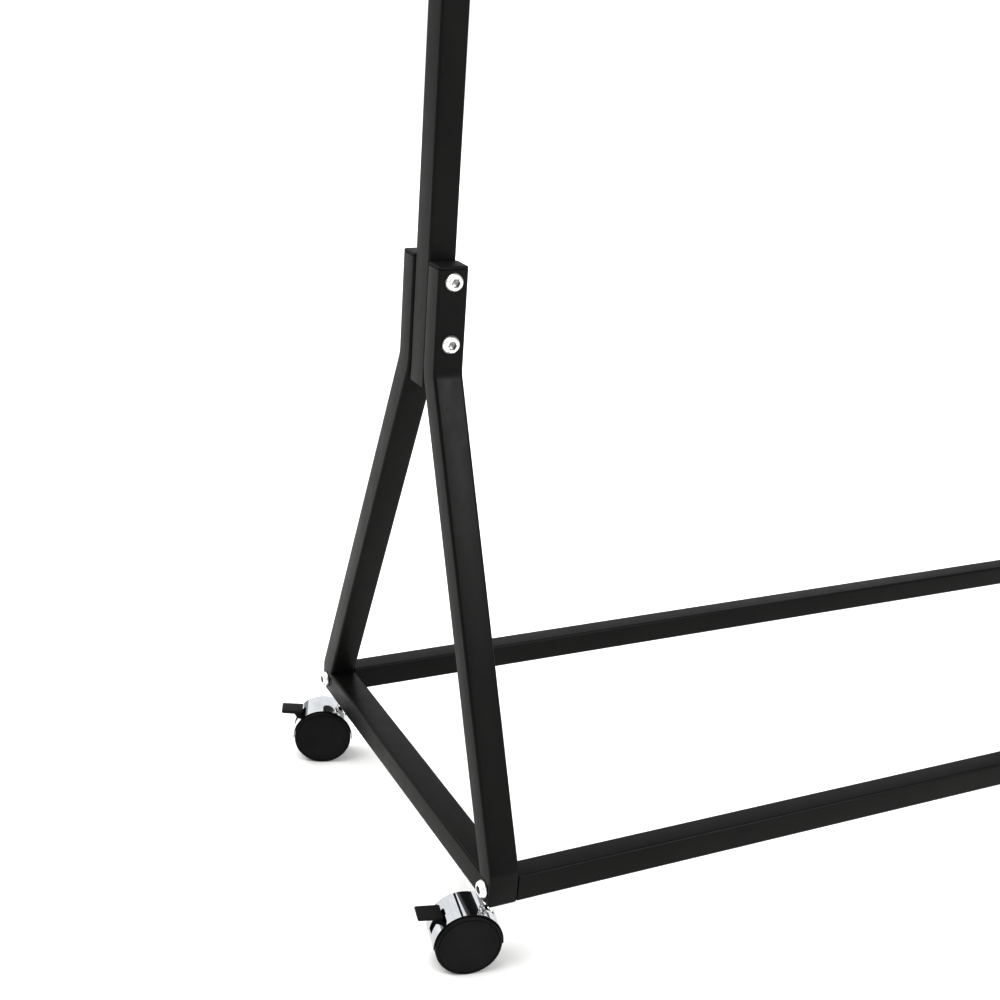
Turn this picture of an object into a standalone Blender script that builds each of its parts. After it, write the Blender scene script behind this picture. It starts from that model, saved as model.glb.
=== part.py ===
"""Pegboard display stand on four braked twin-wheel casters.

Two end frames of bent tube stand on casters and are joined by two long rails. Each end frame clamps
a post, and the posts carry two grooved rails that hold the pegboard.

Metres, +Z up. The origin is on the floor, under the middle of the stand. +X runs along the board,
and -Y is the side that the post bolts' heads are on.
"""

from math import acos, cos, degrees, pi, radians, sin, sqrt, tan

import bmesh
import bpy
from mathutils import Matrix, Vector

# Overall.
STAND_WIDTH = 1.264          # outer face to outer face of the end frames
BASE_DEPTH = 0.355           # along an end rail
BASE_HEIGHT = 0.062          # floor to the underside of the end rails
GAP = 0.0003                 # left between pieces that touch
SEAT = 0.0005                # left around the pegboard and under the hood

# Tubes.
WALL = 0.0015
TUBE_CORNER = 0.0022
END_RAIL_WIDTH = 0.023
END_RAIL_HEIGHT = 0.0205
LONG_RAIL_DEPTH = 0.0195
LONG_RAIL_HEIGHT = 0.0215
END_PLATE = 0.004            # welded into the ends of the rails
LEG_WIDTH = 0.023
LEG_DEPTH = 0.020
LEG_TOP = 0.4962             # top of the leg's cap
LEG_BEND_HEIGHT = 0.4157     # where the leg's two centre lines meet
LEG_BEND_RADIUS = 0.032
LEG_LEAN = radians(23.68)
POST_WIDTH = 0.021
POST_DEPTH = 0.025
POST_BOTTOM = 0.402
POST_TOP = 1.653             # top of the post's cap
CAP_FLANGE = 0.0025
CAP_EDGE = 0.0011            # rounding of the flange
LEG_CAP_PLUG = 0.0018        # stops short of the upper weld nut
POST_CAP_PLUG = 0.010

# Fasteners: M8 and M6 button heads with hex sockets.
M8_SHANK = 0.004
M8_HEAD = 0.0067
M8_HEAD_HEIGHT = 0.0044
M8_SOCKET = 0.0029
M6_SHANK = 0.003
M6_HEAD = 0.00525
M6_HEAD_HEIGHT = 0.0033
M6_SOCKET = 0.0023
HOLE_CLEARANCE = 0.0004
POST_BOLT_HEIGHTS = (0.4850, 0.4400)
POST_BOLT_END = 0.024        # how far behind the post's centre the shank ends
WELD_NUT_RADIUS = 0.0060
WELD_NUT_LENGTH = 0.007
CORNER_BOLT_LENGTH = 0.034
PANEL_BOLT_LENGTH = 0.042

# Pegboard and the rails that hold it.
BOARD_HEIGHT = 0.914
BOARD_THICKNESS = 0.0064
BOARD_EDGE_THICKNESS = 0.006         # planed down round the edge to slide into the grooves
BOARD_EDGE_WIDTH = 0.013
PANEL_RAIL_DEPTH = 0.022
PANEL_RAIL_HEIGHT = 0.024
PANEL_RAIL_BOTTOM = 0.700
GROOVE_WIDTH = 0.0070
GROOVE_DEPTH = 0.012
PANEL_RAIL_CHAMFER = 0.0008
PORT_INSET = 0.006           # screw port's centre above the rail's closed face

# Casters.
WHEEL_RADIUS = 0.025
WHEEL_WIDTH = 0.0108
WHEEL_INNER = 0.0055         # wheel's inner face from the caster's middle plane
WHEEL_DOME = 0.0014          # how far the middle of the disc stands out
WHEEL_CHAMFER = 0.0008
AXLE_RADIUS = 0.0025
AXLE_HALF_LENGTH = 0.0132
TRAIL = 0.017                # swivel axis to axle
STEM_INSET_Y = 0.0215        # swivel axis from the end of the end rail
STEM_PIN_RADIUS = 0.003
STEM_THREAD_RADIUS = 0.004
STEM_PIN_BOTTOM = 0.0235
STEM_COLLAR_RADIUS = 0.005
STEM_COLLAR_BOTTOM = 0.0497
STEM_COLLAR_TOP = 0.0520
STEM_TOP = 0.074
HOOD_RADIUS = 0.0262
HOOD_THICKNESS = 0.0007
HOOD_HALF_WIDTH = 0.0145
HOOD_SKIRT = 0.0235          # the hood's lower edge above the floor
HOOD_SLOT_START = 0.008      # the brake's slot, from the axle: away from the stem,
HOOD_SLOT_HEIGHTS = (0.0045, 0.0206)         # and up, from its lower end to its upper end
CORE_BOSS = 0.0055           # stem socket's wall, on the side away from the wheels
CORE_FORK = 0.0048           # room round the brake's pivot
CORE_HALF_WIDTH = 0.0048
FORK_SLOT_HALF_WIDTH = 0.0032
BRAKE_PIVOT = (0.014, 0.011)         # from the axle, away from the stem and up
BRAKE_PIN_RADIUS = 0.0015
BRAKE_BARREL_RADIUS = 0.0034
BRAKE_NECK_HALF_WIDTH = 0.0028
BRAKE_PADDLE_HALF_WIDTH = 0.0074
FRONT_LEFT_SWIVEL = 168.0            # degrees from +X, the way that the wheels trail
REAR_LEFT_SWIVEL = 159.0

ROUND_STEPS = 16
HOLE_STEPS = 12
HOOD_STEPS = 32
WHEEL_STEPS = 24

HALF_WIDTH = STAND_WIDTH / 2
HALF_DEPTH = BASE_DEPTH / 2
POST_INSET = LEG_WIDTH / 2           # centre line of an end frame from its outer face
END_RAIL_TOP = BASE_HEIGHT + END_RAIL_HEIGHT
LEG_CENTRE = POST_DEPTH / 2 + GAP + LEG_DEPTH / 2
LEG_OUTER = LEG_CENTRE + LEG_DEPTH / 2
PANEL_HALF_LENGTH = HALF_WIDTH - POST_INSET - POST_WIDTH / 2
BOARD_BOTTOM = PANEL_RAIL_BOTTOM + PANEL_RAIL_HEIGHT - GROOVE_DEPTH + SEAT
PANEL_RAIL_TOP = BOARD_BOTTOM + BOARD_HEIGHT + SEAT - GROOVE_DEPTH + PANEL_RAIL_HEIGHT
PANEL_BOLT_HEIGHTS = (PANEL_RAIL_BOTTOM + PORT_INSET, PANEL_RAIL_TOP - PORT_INSET)
LONG_RAIL_CENTRE_Y = HALF_DEPTH - LONG_RAIL_DEPTH / 2
LONG_RAIL_CENTRE_Z = BASE_HEIGHT + GAP + LONG_RAIL_HEIGHT / 2
BRAKE_X = TRAIL + BRAKE_PIVOT[0]
BRAKE_Z = WHEEL_RADIUS + BRAKE_PIVOT[1]

STAND = "pegboard_display_stand"


# ---------------------------------------------------------------- scene and materials

def clear_scene():
    for item in list(bpy.data.objects):
        bpy.data.objects.remove(item, do_unlink=True)


def make_collection(name):
    collection = bpy.data.collections.new(name)
    bpy.context.scene.collection.children.link(collection)
    return collection


def make_material(name, colour, roughness, metallic):
    material = bpy.data.materials.new(name)
    material.use_nodes = True
    shader = material.node_tree.nodes["Principled BSDF"]
    shader.inputs["Base Color"].default_value = (*colour, 1.0)
    shader.inputs["Roughness"].default_value = roughness
    shader.inputs["Metallic"].default_value = metallic
    return material


FINISHES = {
    "powder_coat": ((0.012, 0.012, 0.013), 0.45, 0.0),
    "black_plastic": ((0.015, 0.015, 0.016), 0.40, 0.0),
    "chrome": ((0.80, 0.80, 0.82), 0.08, 1.0),
    "zinc": ((0.78, 0.78, 0.76), 0.30, 1.0),
    "hardboard": ((0.82, 0.81, 0.78), 0.55, 0.0),
}


def place(mesh, name, finish, matrix=None):
    """Put a mesh in the stand's collection, as a named piece with its own material."""
    piece = bpy.data.objects.new(name, mesh)
    parts.objects.link(piece)
    material = make_material(name, *FINISHES[finish])
    if not mesh.materials:
        mesh.materials.append(material)
    piece.material_slots[0].link = "OBJECT"
    piece.material_slots[0].material = material
    piece.matrix_world = matrix or Matrix.Identity(4)
    return piece


def ride(piece, parent, matrix):
    """Parent a piece to an empty and set its place in the empty's own frame."""
    piece.parent = parent
    piece.matrix_parent_inverse = Matrix.Identity(4)
    piece.matrix_basis = matrix
    return piece


def shift(x=0.0, y=0.0, z=0.0):
    return Matrix.Translation((x, y, z))


def turn(angle, axis):
    return Matrix.Rotation(angle, 4, axis)


# ---------------------------------------------------------------- shapes

def take_mesh(item, name, close=False):
    """Turn a working object into a mesh. Closing it welds on a curve's loose caps."""
    bpy.context.view_layer.update()
    depsgraph = bpy.context.evaluated_depsgraph_get()
    mesh = bpy.data.meshes.new_from_object(item.evaluated_get(depsgraph))
    mesh.name = name
    mesh.materials.clear()
    bpy.data.objects.remove(item, do_unlink=True)
    if close:
        shape = bmesh.new()
        shape.from_mesh(mesh)
        bmesh.ops.remove_doubles(shape, verts=shape.verts, dist=0.000005)
        bmesh.ops.recalc_face_normals(shape, faces=shape.faces)
        shape.to_mesh(mesh)
        shape.free()
    return mesh


def smooth(mesh, angle=35.0):
    mesh.shade_smooth()
    mesh.set_sharp_from_angle(angle=radians(angle))
    return mesh


def box_mesh(name, low, high, bevel=0.0):
    low, high = Vector(low), Vector(high)
    shape = bmesh.new()
    bmesh.ops.create_cube(shape, size=1.0)
    bmesh.ops.scale(shape, vec=high - low, verts=shape.verts)
    bmesh.ops.translate(shape, vec=(low + high) / 2, verts=shape.verts)
    if bevel:
        bmesh.ops.bevel(shape, geom=shape.edges[:], offset=bevel, segments=2, profile=0.5,
                        affect="EDGES")
    mesh = bpy.data.meshes.new(name)
    shape.to_mesh(mesh)
    shape.free()
    return mesh


def rod_mesh(name, radius, length, steps=ROUND_STEPS):
    """A cylinder along Z with its middle at the origin."""
    shape = bmesh.new()
    bmesh.ops.create_cone(shape, cap_ends=True, segments=steps, radius1=radius, radius2=radius,
                          depth=length)
    mesh = bpy.data.meshes.new(name)
    shape.to_mesh(mesh)
    shape.free()
    return mesh


def turned_mesh(name, profile, steps=ROUND_STEPS):
    """Spin a profile of (radius, height) points about Z. It runs down the outer side."""
    outline = bpy.data.meshes.new(name)
    points = [(radius, 0.0, height) for radius, height in profile]
    outline.from_pydata(points, [(i, i + 1) for i in range(len(points) - 1)], [])
    item = bpy.data.objects.new(name, outline)
    parts.objects.link(item)
    screw = item.modifiers.new("spin", "SCREW")
    screw.steps = steps
    screw.render_steps = steps
    screw.use_merge_vertices = True
    screw.merge_threshold = 0.00001
    return smooth(take_mesh(item, name, close=True))


def rounded_rectangle(width, height, corner, corner_steps):
    """Outline points of a rectangle with round corners, anticlockwise."""
    points = []
    for quarter, (side_x, side_y) in enumerate(((1, 1), (-1, 1), (-1, -1), (1, -1))):
        centre_x = side_x * (width / 2 - corner)
        centre_y = side_y * (height / 2 - corner)
        for step in range(corner_steps + 1):
            angle = (quarter + step / corner_steps) * pi / 2
            points.append((centre_x + corner * cos(angle), centre_y + corner * sin(angle)))
    return points


def add_loop(curve, points, closed=True):
    spline = curve.splines.new("POLY")
    spline.points.add(len(points) - 1)
    for point, (x, y) in zip(spline.points, points):
        point.co = (x, y, 0.0, 1.0)
    spline.use_cyclic_u = closed


def plate_mesh(name, loops, thickness):
    """A flat outline in XY, with its holes, made thick along Z about the origin."""
    curve = bpy.data.curves.new(name, "CURVE")
    curve.dimensions = "2D"
    curve.fill_mode = "BOTH"
    curve.extrude = thickness / 2
    for loop in loops:
        add_loop(curve, loop)
    item = bpy.data.objects.new(name, curve)
    parts.objects.link(item)
    return take_mesh(item, name, close=True)


def swept_mesh(name, path, width, depth, corner, corner_steps=2):
    """A round-cornered bar along a path in XY: depth is in the path's plane, width along Z."""
    section = bpy.data.curves.new(name + "_section", "CURVE")
    section.dimensions = "2D"
    add_loop(section, rounded_rectangle(depth, width, corner, corner_steps))
    guide = bpy.data.objects.new(name + "_section", section)
    cutters.objects.link(guide)
    curve = bpy.data.curves.new(name, "CURVE")
    curve.dimensions = "2D"
    curve.fill_mode = "NONE"
    curve.bevel_mode = "OBJECT"
    curve.bevel_object = guide
    curve.use_fill_caps = True
    add_loop(curve, path, closed=False)
    item = bpy.data.objects.new(name, curve)
    parts.objects.link(item)
    mesh = take_mesh(item, name, close=True)
    bpy.data.objects.remove(guide, do_unlink=True)
    return mesh


def join(mesh, other, operation="DIFFERENCE", matrix=None):
    """Boolean two closed meshes and give the result as a new mesh."""
    name = mesh.name
    base = bpy.data.objects.new(name, mesh)
    tool = bpy.data.objects.new(name + "_tool", other)
    parts.objects.link(base)
    cutters.objects.link(tool)
    tool.hide_render = True
    tool.display_type = "WIRE"
    tool.matrix_world = matrix or Matrix.Identity(4)
    boolean = base.modifiers.new("join", "BOOLEAN")
    boolean.operation = operation
    boolean.solver = "EXACT"
    boolean.object = tool
    result = take_mesh(base, name)
    bpy.data.objects.remove(tool, do_unlink=True)
    return result


def drill(mesh, radius, length, matrix, steps=HOLE_STEPS):
    """Cut a round hole whose axis is the matrix's Z."""
    return join(mesh, rod_mesh("drill", radius, length, steps), matrix=matrix)


ALONG_X = turn(pi / 2, "Y")
ALONG_Y = turn(pi / 2, "X")


# ---------------------------------------------------------------- end frames

def make_end_rail(side, name):
    """Tube with welded end plates; the caster stems and the corner bolts pass through it."""
    x = side * (HALF_WIDTH - POST_INSET)
    half = HALF_DEPTH
    mesh = swept_mesh(name, [(-half, 0.0), (half, 0.0)], END_RAIL_HEIGHT, END_RAIL_WIDTH, TUBE_CORNER)
    hollow = swept_mesh("hollow", [(END_PLATE - half, 0.0), (half - END_PLATE, 0.0)],
                        END_RAIL_HEIGHT - 2 * WALL, END_RAIL_WIDTH - 2 * WALL, TUBE_CORNER - WALL, 1)
    mesh = join(mesh, hollow)
    mesh.transform(shift(z=BASE_HEIGHT + END_RAIL_HEIGHT / 2) @ turn(pi / 2, "Z"))
    mesh.transform(shift(x))
    for end in (-1, 1):
        stem = shift(x, end * (half - STEM_INSET_Y), BASE_HEIGHT)
        mesh = drill(mesh, STEM_THREAD_RADIUS + HOLE_CLEARANCE, 3 * WALL, stem)
        bolt = shift(x, end * LONG_RAIL_CENTRE_Y, LONG_RAIL_CENTRE_Z) @ ALONG_X
        mesh = drill(mesh, M8_SHANK + HOLE_CLEARANCE, 2 * END_RAIL_WIDTH, bolt)
    return place(smooth(mesh), name, "powder_coat")


def leg_path(top, bottom):
    """Centre line of a leg: down beside the post, round the bend, and out to the foot."""
    tangent = LEG_BEND_RADIUS * tan(LEG_LEAN / 2)
    centre = LEG_CENTRE + LEG_BEND_RADIUS
    start = LEG_BEND_HEIGHT + tangent
    points = [(LEG_CENTRE, top)]
    steps = 3
    for step in range(steps + 1):
        angle = LEG_LEAN * step / steps
        points.append((centre - LEG_BEND_RADIUS * cos(angle), start - LEG_BEND_RADIUS * sin(angle)))
    drop = points[-1][1] - bottom
    points.append((points[-1][0] + drop * tan(LEG_LEAN), bottom))
    return points


def make_leg(side, end, name):
    """Bent tube, cut level to stand on the end rail and upright at the foot."""
    below = END_RAIL_TOP - LEG_DEPTH
    tube_top = LEG_TOP - CAP_FLANGE - GAP
    mesh = swept_mesh(name, leg_path(tube_top, below), LEG_WIDTH, LEG_DEPTH, TUBE_CORNER)
    hollow = swept_mesh("hollow", leg_path(LEG_TOP + WALL, below - WALL), LEG_WIDTH - 2 * WALL,
                        LEG_DEPTH - 2 * WALL, TUBE_CORNER - WALL, 1)
    far = 2 * HALF_DEPTH
    foot_inside = box_mesh("foot_inside", (HALF_DEPTH - WALL, 0.0, -far), (far, far, far))
    foot_outside = box_mesh("foot_outside", (HALF_DEPTH, 0.0, -far), (far, far, far))
    floor = box_mesh("floor", (-far, -far, -far), (far, END_RAIL_TOP + GAP, far))
    mesh = join(mesh, join(hollow, foot_inside))
    mesh = join(mesh, foot_outside)
    mesh = join(mesh, floor)
    stand_up = shift(side * (HALF_WIDTH - POST_INSET)) @ turn(end * pi / 2, "Z") @ turn(pi / 2, "X")
    mesh.transform(stand_up)
    for height in POST_BOLT_HEIGHTS:
        middle = shift(side * (HALF_WIDTH - POST_INSET), end * LEG_CENTRE, height)
        if end > 0:
            nut = shift(y=WALL / 2 - LEG_DEPTH / 2 + WELD_NUT_LENGTH / 2) @ ALONG_Y
            mesh = join(mesh, rod_mesh("nut", WELD_NUT_RADIUS, WELD_NUT_LENGTH, HOLE_STEPS), "UNION",
                        middle @ nut)
            reach = shift(y=-LEG_DEPTH / 2) @ ALONG_Y
            mesh = drill(mesh, M8_SHANK + HOLE_CLEARANCE, LEG_DEPTH, middle @ reach)
        else:
            mesh = drill(mesh, M8_SHANK + HOLE_CLEARANCE, 2 * LEG_DEPTH, middle @ ALONG_Y)
    return place(smooth(mesh), name, "powder_coat")


def make_cap(width, depth, plug_length, name, place_at):
    """Plastic plug: a flange with rounded edges on a block that fills the tube's mouth."""
    clear = WALL + 2 * GAP
    flange = box_mesh(name, (-width / 2, -depth / 2, -CAP_FLANGE), (width / 2, depth / 2, 0.0),
                      CAP_EDGE)
    plug = box_mesh("plug", (clear - width / 2, clear - depth / 2, -CAP_FLANGE - plug_length),
                    (width / 2 - clear, depth / 2 - clear, -CAP_FLANGE / 2))
    mesh = smooth(join(flange, plug, "UNION"))
    return place(mesh, name, "black_plastic", place_at)


def make_post(side, name):
    x = side * (HALF_WIDTH - POST_INSET)
    top = POST_TOP - CAP_FLANGE - GAP
    mesh = swept_mesh(name, [(POST_BOTTOM, 0.0), (top, 0.0)], POST_WIDTH, POST_DEPTH, TUBE_CORNER)
    hollow = swept_mesh("hollow", [(POST_BOTTOM - WALL, 0.0), (top + WALL, 0.0)],
                        POST_WIDTH - 2 * WALL, POST_DEPTH - 2 * WALL, TUBE_CORNER - WALL, 1)
    mesh = join(mesh, hollow)
    mesh.transform(shift(x) @ turn(-pi / 2, "Y"))
    for height in POST_BOLT_HEIGHTS:
        mesh = drill(mesh, M8_SHANK + HOLE_CLEARANCE, 2 * POST_DEPTH, shift(x, 0.0, height) @ ALONG_Y)
    for height in PANEL_BOLT_HEIGHTS:
        mesh = drill(mesh, M6_SHANK + HOLE_CLEARANCE, 2 * POST_WIDTH, shift(x, 0.0, height) @ ALONG_X)
    return place(smooth(mesh), name, "powder_coat")


def make_long_rail(end, name):
    """Tube from one end frame to the other, with a tapped plate welded into each end."""
    half = HALF_WIDTH - LEG_WIDTH - GAP
    mesh = swept_mesh(name, [(-half, 0.0), (half, 0.0)], LONG_RAIL_HEIGHT, LONG_RAIL_DEPTH, TUBE_CORNER)
    hollow = swept_mesh("hollow", [(END_PLATE - half, 0.0), (half - END_PLATE, 0.0)],
                        LONG_RAIL_HEIGHT - 2 * WALL, LONG_RAIL_DEPTH - 2 * WALL, TUBE_CORNER - WALL, 1)
    mesh = join(mesh, hollow)
    for side in (-1, 1):
        mesh = drill(mesh, M8_SHANK + HOLE_CLEARANCE, 3 * END_PLATE, shift(side * half) @ ALONG_X)
    middle = shift(0.0, end * LONG_RAIL_CENTRE_Y, LONG_RAIL_CENTRE_Z)
    return place(smooth(mesh), name, "powder_coat", middle)


# ---------------------------------------------------------------- fasteners

def bolt_mesh(name, shank, head, head_height, socket, length):
    """Button head with a hex socket. The head's seat is at the origin and it faces +Z."""
    crown = 0.42             # share of the head's radius that is nearly flat
    side = 0.22              # share of the head's height that is upright
    dome = [(0.0, head_height)]
    for share in (0.5, 0.8):
        dome.append((head * share, head_height * sqrt(1.0 - (share - crown) ** 2 / 0.38)))
    profile = dome + [(head, head_height * side), (head, 0.0), (shank, 0.0), (shank, -length),
                      (0.0, -length)]
    mesh = turned_mesh(name, profile)
    depth = head_height * 0.6
    hexagon = rod_mesh("socket", socket / cos(pi / 6), 2 * depth, 6)
    return smooth(join(mesh, hexagon, matrix=shift(z=head_height)))


def place_bolts():
    post_length = LEG_OUTER + GAP + POST_BOLT_END
    post_bolt = bolt_mesh("post_bolt", M8_SHANK, M8_HEAD, M8_HEAD_HEIGHT, M8_SOCKET, post_length)
    corner_bolt = bolt_mesh("corner_bolt", M8_SHANK, M8_HEAD, M8_HEAD_HEIGHT, M8_SOCKET,
                            CORNER_BOLT_LENGTH)
    panel_bolt = bolt_mesh("panel_bolt", M6_SHANK, M6_HEAD, M6_HEAD_HEIGHT, M6_SOCKET,
                           PANEL_BOLT_LENGTH)
    for side, side_name in SIDES:
        x = side * (HALF_WIDTH - POST_INSET)
        for height, level in zip(POST_BOLT_HEIGHTS, ("upper", "lower")):
            seat = shift(x, -LEG_OUTER - GAP, height) @ ALONG_Y
            place(post_bolt, f"{side_name}_post_bolt_{level}", "zinc", seat)
        for end, end_name in ENDS:
            seat = shift(side * (HALF_WIDTH + GAP), end * LONG_RAIL_CENTRE_Y, LONG_RAIL_CENTRE_Z)
            place(corner_bolt, f"{side_name}_corner_bolt_{end_name}", "zinc",
                  seat @ turn(side * pi / 2, "Y"))
        for height, level in zip(PANEL_BOLT_HEIGHTS, ("lower", "upper")):
            seat = shift(x + side * (POST_WIDTH / 2 + GAP), 0.0, height) @ turn(side * pi / 2, "Y")
            place(panel_bolt, f"{side_name}_panel_bolt_{level}", "zinc", seat)


# ---------------------------------------------------------------- pegboard

def panel_rail_mesh(name):
    """Grooved rail along X. Its closed face is at z = 0, and a screw port runs below the groove."""
    half_depth = PANEL_RAIL_DEPTH / 2
    half_groove = GROOVE_WIDTH / 2
    groove_floor = PANEL_RAIL_HEIGHT - GROOVE_DEPTH
    cut = PANEL_RAIL_CHAMFER
    half_outline = [(half_depth - cut, 0.0), (half_depth, cut), (half_depth, PANEL_RAIL_HEIGHT - cut),
                    (half_depth - cut, PANEL_RAIL_HEIGHT), (half_groove, PANEL_RAIL_HEIGHT),
                    (half_groove, groove_floor)]
    outline = half_outline + [(-y, z) for y, z in reversed(half_outline)]
    radius = M6_SHANK + HOLE_CLEARANCE
    port = [(radius * cos(2 * pi * i / HOLE_STEPS), PORT_INSET + radius * sin(2 * pi * i / HOLE_STEPS))
            for i in range(HOLE_STEPS)]
    mesh = plate_mesh(name, [outline, port], 2 * (PANEL_HALF_LENGTH - GAP))
    mesh.transform(turn(pi / 2, "Z") @ turn(pi / 2, "X"))
    return smooth(mesh)


def board_mesh(name):
    """Board upright in XZ, with a planed edge all round."""
    half_length = PANEL_HALF_LENGTH - SEAT
    edge = box_mesh(name, (-half_length, -BOARD_EDGE_THICKNESS / 2, 0.0),
                    (half_length, BOARD_EDGE_THICKNESS / 2, BOARD_HEIGHT))
    half_length -= BOARD_EDGE_WIDTH
    field = box_mesh("field", (-half_length, -BOARD_THICKNESS / 2, BOARD_EDGE_WIDTH),
                     (half_length, BOARD_THICKNESS / 2, BOARD_HEIGHT - BOARD_EDGE_WIDTH))
    return join(edge, field, "UNION")


def place_panel():
    rail = panel_rail_mesh("panel_rail")
    place(rail, "panel_rail_lower", "powder_coat", shift(z=PANEL_RAIL_BOTTOM))
    place(rail, "panel_rail_upper", "powder_coat", shift(z=PANEL_RAIL_TOP) @ turn(pi, "X"))
    place(board_mesh("pegboard"), "pegboard", "hardboard", shift(z=BOARD_BOTTOM))


# ---------------------------------------------------------------- casters

def stem_mesh():
    """Swivel pin, collar and threaded shank, from the core's socket up into the end rail."""
    chamfer = 0.0006
    profile = [(0.0, STEM_TOP), (STEM_THREAD_RADIUS - chamfer, STEM_TOP),
               (STEM_THREAD_RADIUS, STEM_TOP - chamfer), (STEM_THREAD_RADIUS, STEM_COLLAR_TOP),
               (STEM_COLLAR_RADIUS, STEM_COLLAR_TOP), (STEM_COLLAR_RADIUS, STEM_COLLAR_BOTTOM),
               (STEM_PIN_RADIUS, STEM_COLLAR_BOTTOM), (STEM_PIN_RADIUS, STEM_PIN_BOTTOM),
               (0.0, STEM_PIN_BOTTOM)]
    return turned_mesh("caster_stem", profile)


def hood_mesh():
    """Half-round shell over both wheels, open below, with a stem hole and a slot for the brake."""
    axle = shift(TRAIL, 0.0, WHEEL_RADIUS) @ ALONG_Y
    mesh = rod_mesh("caster_hood", HOOD_RADIUS, 2 * HOOD_HALF_WIDTH, HOOD_STEPS)
    mesh = join(mesh, rod_mesh("inside", HOOD_RADIUS - HOOD_THICKNESS, 4 * HOOD_HALF_WIDTH, HOOD_STEPS))
    mesh.transform(axle)
    reach = 2 * HOOD_RADIUS
    below = box_mesh("below", (TRAIL - reach, -reach, -reach), (TRAIL + reach, reach, HOOD_SKIRT))
    mesh = join(mesh, below)
    low, high = HOOD_SLOT_HEIGHTS
    slot = box_mesh("slot", (TRAIL + HOOD_SLOT_START, -FORK_SLOT_HALF_WIDTH, WHEEL_RADIUS + low),
                    (TRAIL + reach, FORK_SLOT_HALF_WIDTH, WHEEL_RADIUS + high))
    mesh = join(mesh, slot)
    return smooth(drill(mesh, STEM_PIN_RADIUS + 2 * GAP, HOOD_RADIUS, shift(z=2 * WHEEL_RADIUS)))


def core_outline():
    """Side view of the core: an arc under the hood, then down round the axle to the stem's boss."""
    radius = HOOD_RADIUS - HOOD_THICKNESS - GAP
    start = 180.0 - degrees(acos((TRAIL + CORE_BOSS) / radius))
    end = 28.0
    steps = 9
    points = []
    for step in range(steps + 1):
        angle = radians(start + (end - start) * step / steps)
        points.append((TRAIL + radius * cos(angle), WHEEL_RADIUS + radius * sin(angle)))
    lower = ((0.018, 0.002), (0.011, -0.008), (0.0, -0.011), (-0.011, -0.009), (-0.0215, -0.005))
    points += [(TRAIL + x, WHEEL_RADIUS + z) for x, z in lower]
    return points


def core_mesh():
    """Moulding between the wheels: stem socket, axle hole, and a fork with the brake's pivot."""
    mesh = plate_mesh("caster_core", [core_outline()], 2 * CORE_HALF_WIDTH)
    mesh.transform(ALONG_Y)
    reach = 2 * HOOD_RADIUS
    socket = shift(z=STEM_PIN_BOTTOM - GAP + reach / 2)
    mesh = drill(mesh, STEM_PIN_RADIUS + GAP, reach, socket, ROUND_STEPS)
    mesh = drill(mesh, AXLE_RADIUS + GAP, reach, shift(TRAIL, 0.0, WHEEL_RADIUS) @ ALONG_Y)
    fork = box_mesh("fork", (BRAKE_X - CORE_FORK, -FORK_SLOT_HALF_WIDTH, BRAKE_Z - CORE_FORK),
                    (BRAKE_X + reach, FORK_SLOT_HALF_WIDTH, BRAKE_Z + reach))
    mesh = join(mesh, fork)
    pin = rod_mesh("pin", BRAKE_PIN_RADIUS, 2 * CORE_HALF_WIDTH - 0.001, HOLE_STEPS)
    return smooth(join(mesh, pin, "UNION", shift(BRAKE_X, 0.0, BRAKE_Z) @ ALONG_Y))


def wheel_mesh():
    """Disc wheel with a low dome and a blind bore, resting on a flat. Its inner face is z = 0."""
    rim = WHEEL_RADIUS / cos(pi / WHEEL_STEPS)
    width = WHEEL_WIDTH
    chamfer = WHEEL_CHAMFER
    shoulder = (0.74 * rim, width + 0.3 * WHEEL_DOME)
    profile = [(0.0, width + WHEEL_DOME), shoulder, (rim - chamfer, width),
               (rim, width - chamfer), (rim, chamfer), (rim - chamfer, 0.0),
               (AXLE_RADIUS + GAP, 0.0), (AXLE_RADIUS + GAP, AXLE_HALF_LENGTH + GAP - WHEEL_INNER),
               (0.0, AXLE_HALF_LENGTH + GAP - WHEEL_INNER)]
    mesh = turned_mesh("caster_wheel", profile, WHEEL_STEPS)
    mesh.transform(turn(pi / WHEEL_STEPS, "Z"))
    return mesh


def brake_mesh():
    """Pedal that leaves the hood's slot on a neck. Its pivot is the origin."""
    steps = 10
    outline = []
    for step in range(steps + 1):
        angle = radians(130.0 + 190.0 * step / steps)
        outline.append((BRAKE_BARREL_RADIUS * cos(angle), BRAKE_BARREL_RADIUS * sin(angle)))
    outline += [(0.0092, 0.0010), (0.0145, 0.0085), (0.0075, 0.0100)]
    mesh = plate_mesh("caster_brake", [outline], 2 * BRAKE_NECK_HALF_WIDTH)
    mesh.transform(ALONG_Y)
    paddle = plate_mesh("paddle", [[(0.0047, 0.0106), (0.0050, 0.0096), (0.0085, 0.0079),
                                    (0.0226, 0.0086), (0.0234, 0.0093), (0.0234, 0.0106),
                                    (0.0226, 0.0113), (0.0100, 0.0109)]], 2 * BRAKE_PADDLE_HALF_WIDTH)
    paddle.transform(ALONG_Y)
    mesh = join(mesh, paddle, "UNION")
    return smooth(drill(mesh, BRAKE_PIN_RADIUS + GAP, 4 * BRAKE_NECK_HALF_WIDTH, ALONG_Y))


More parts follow.
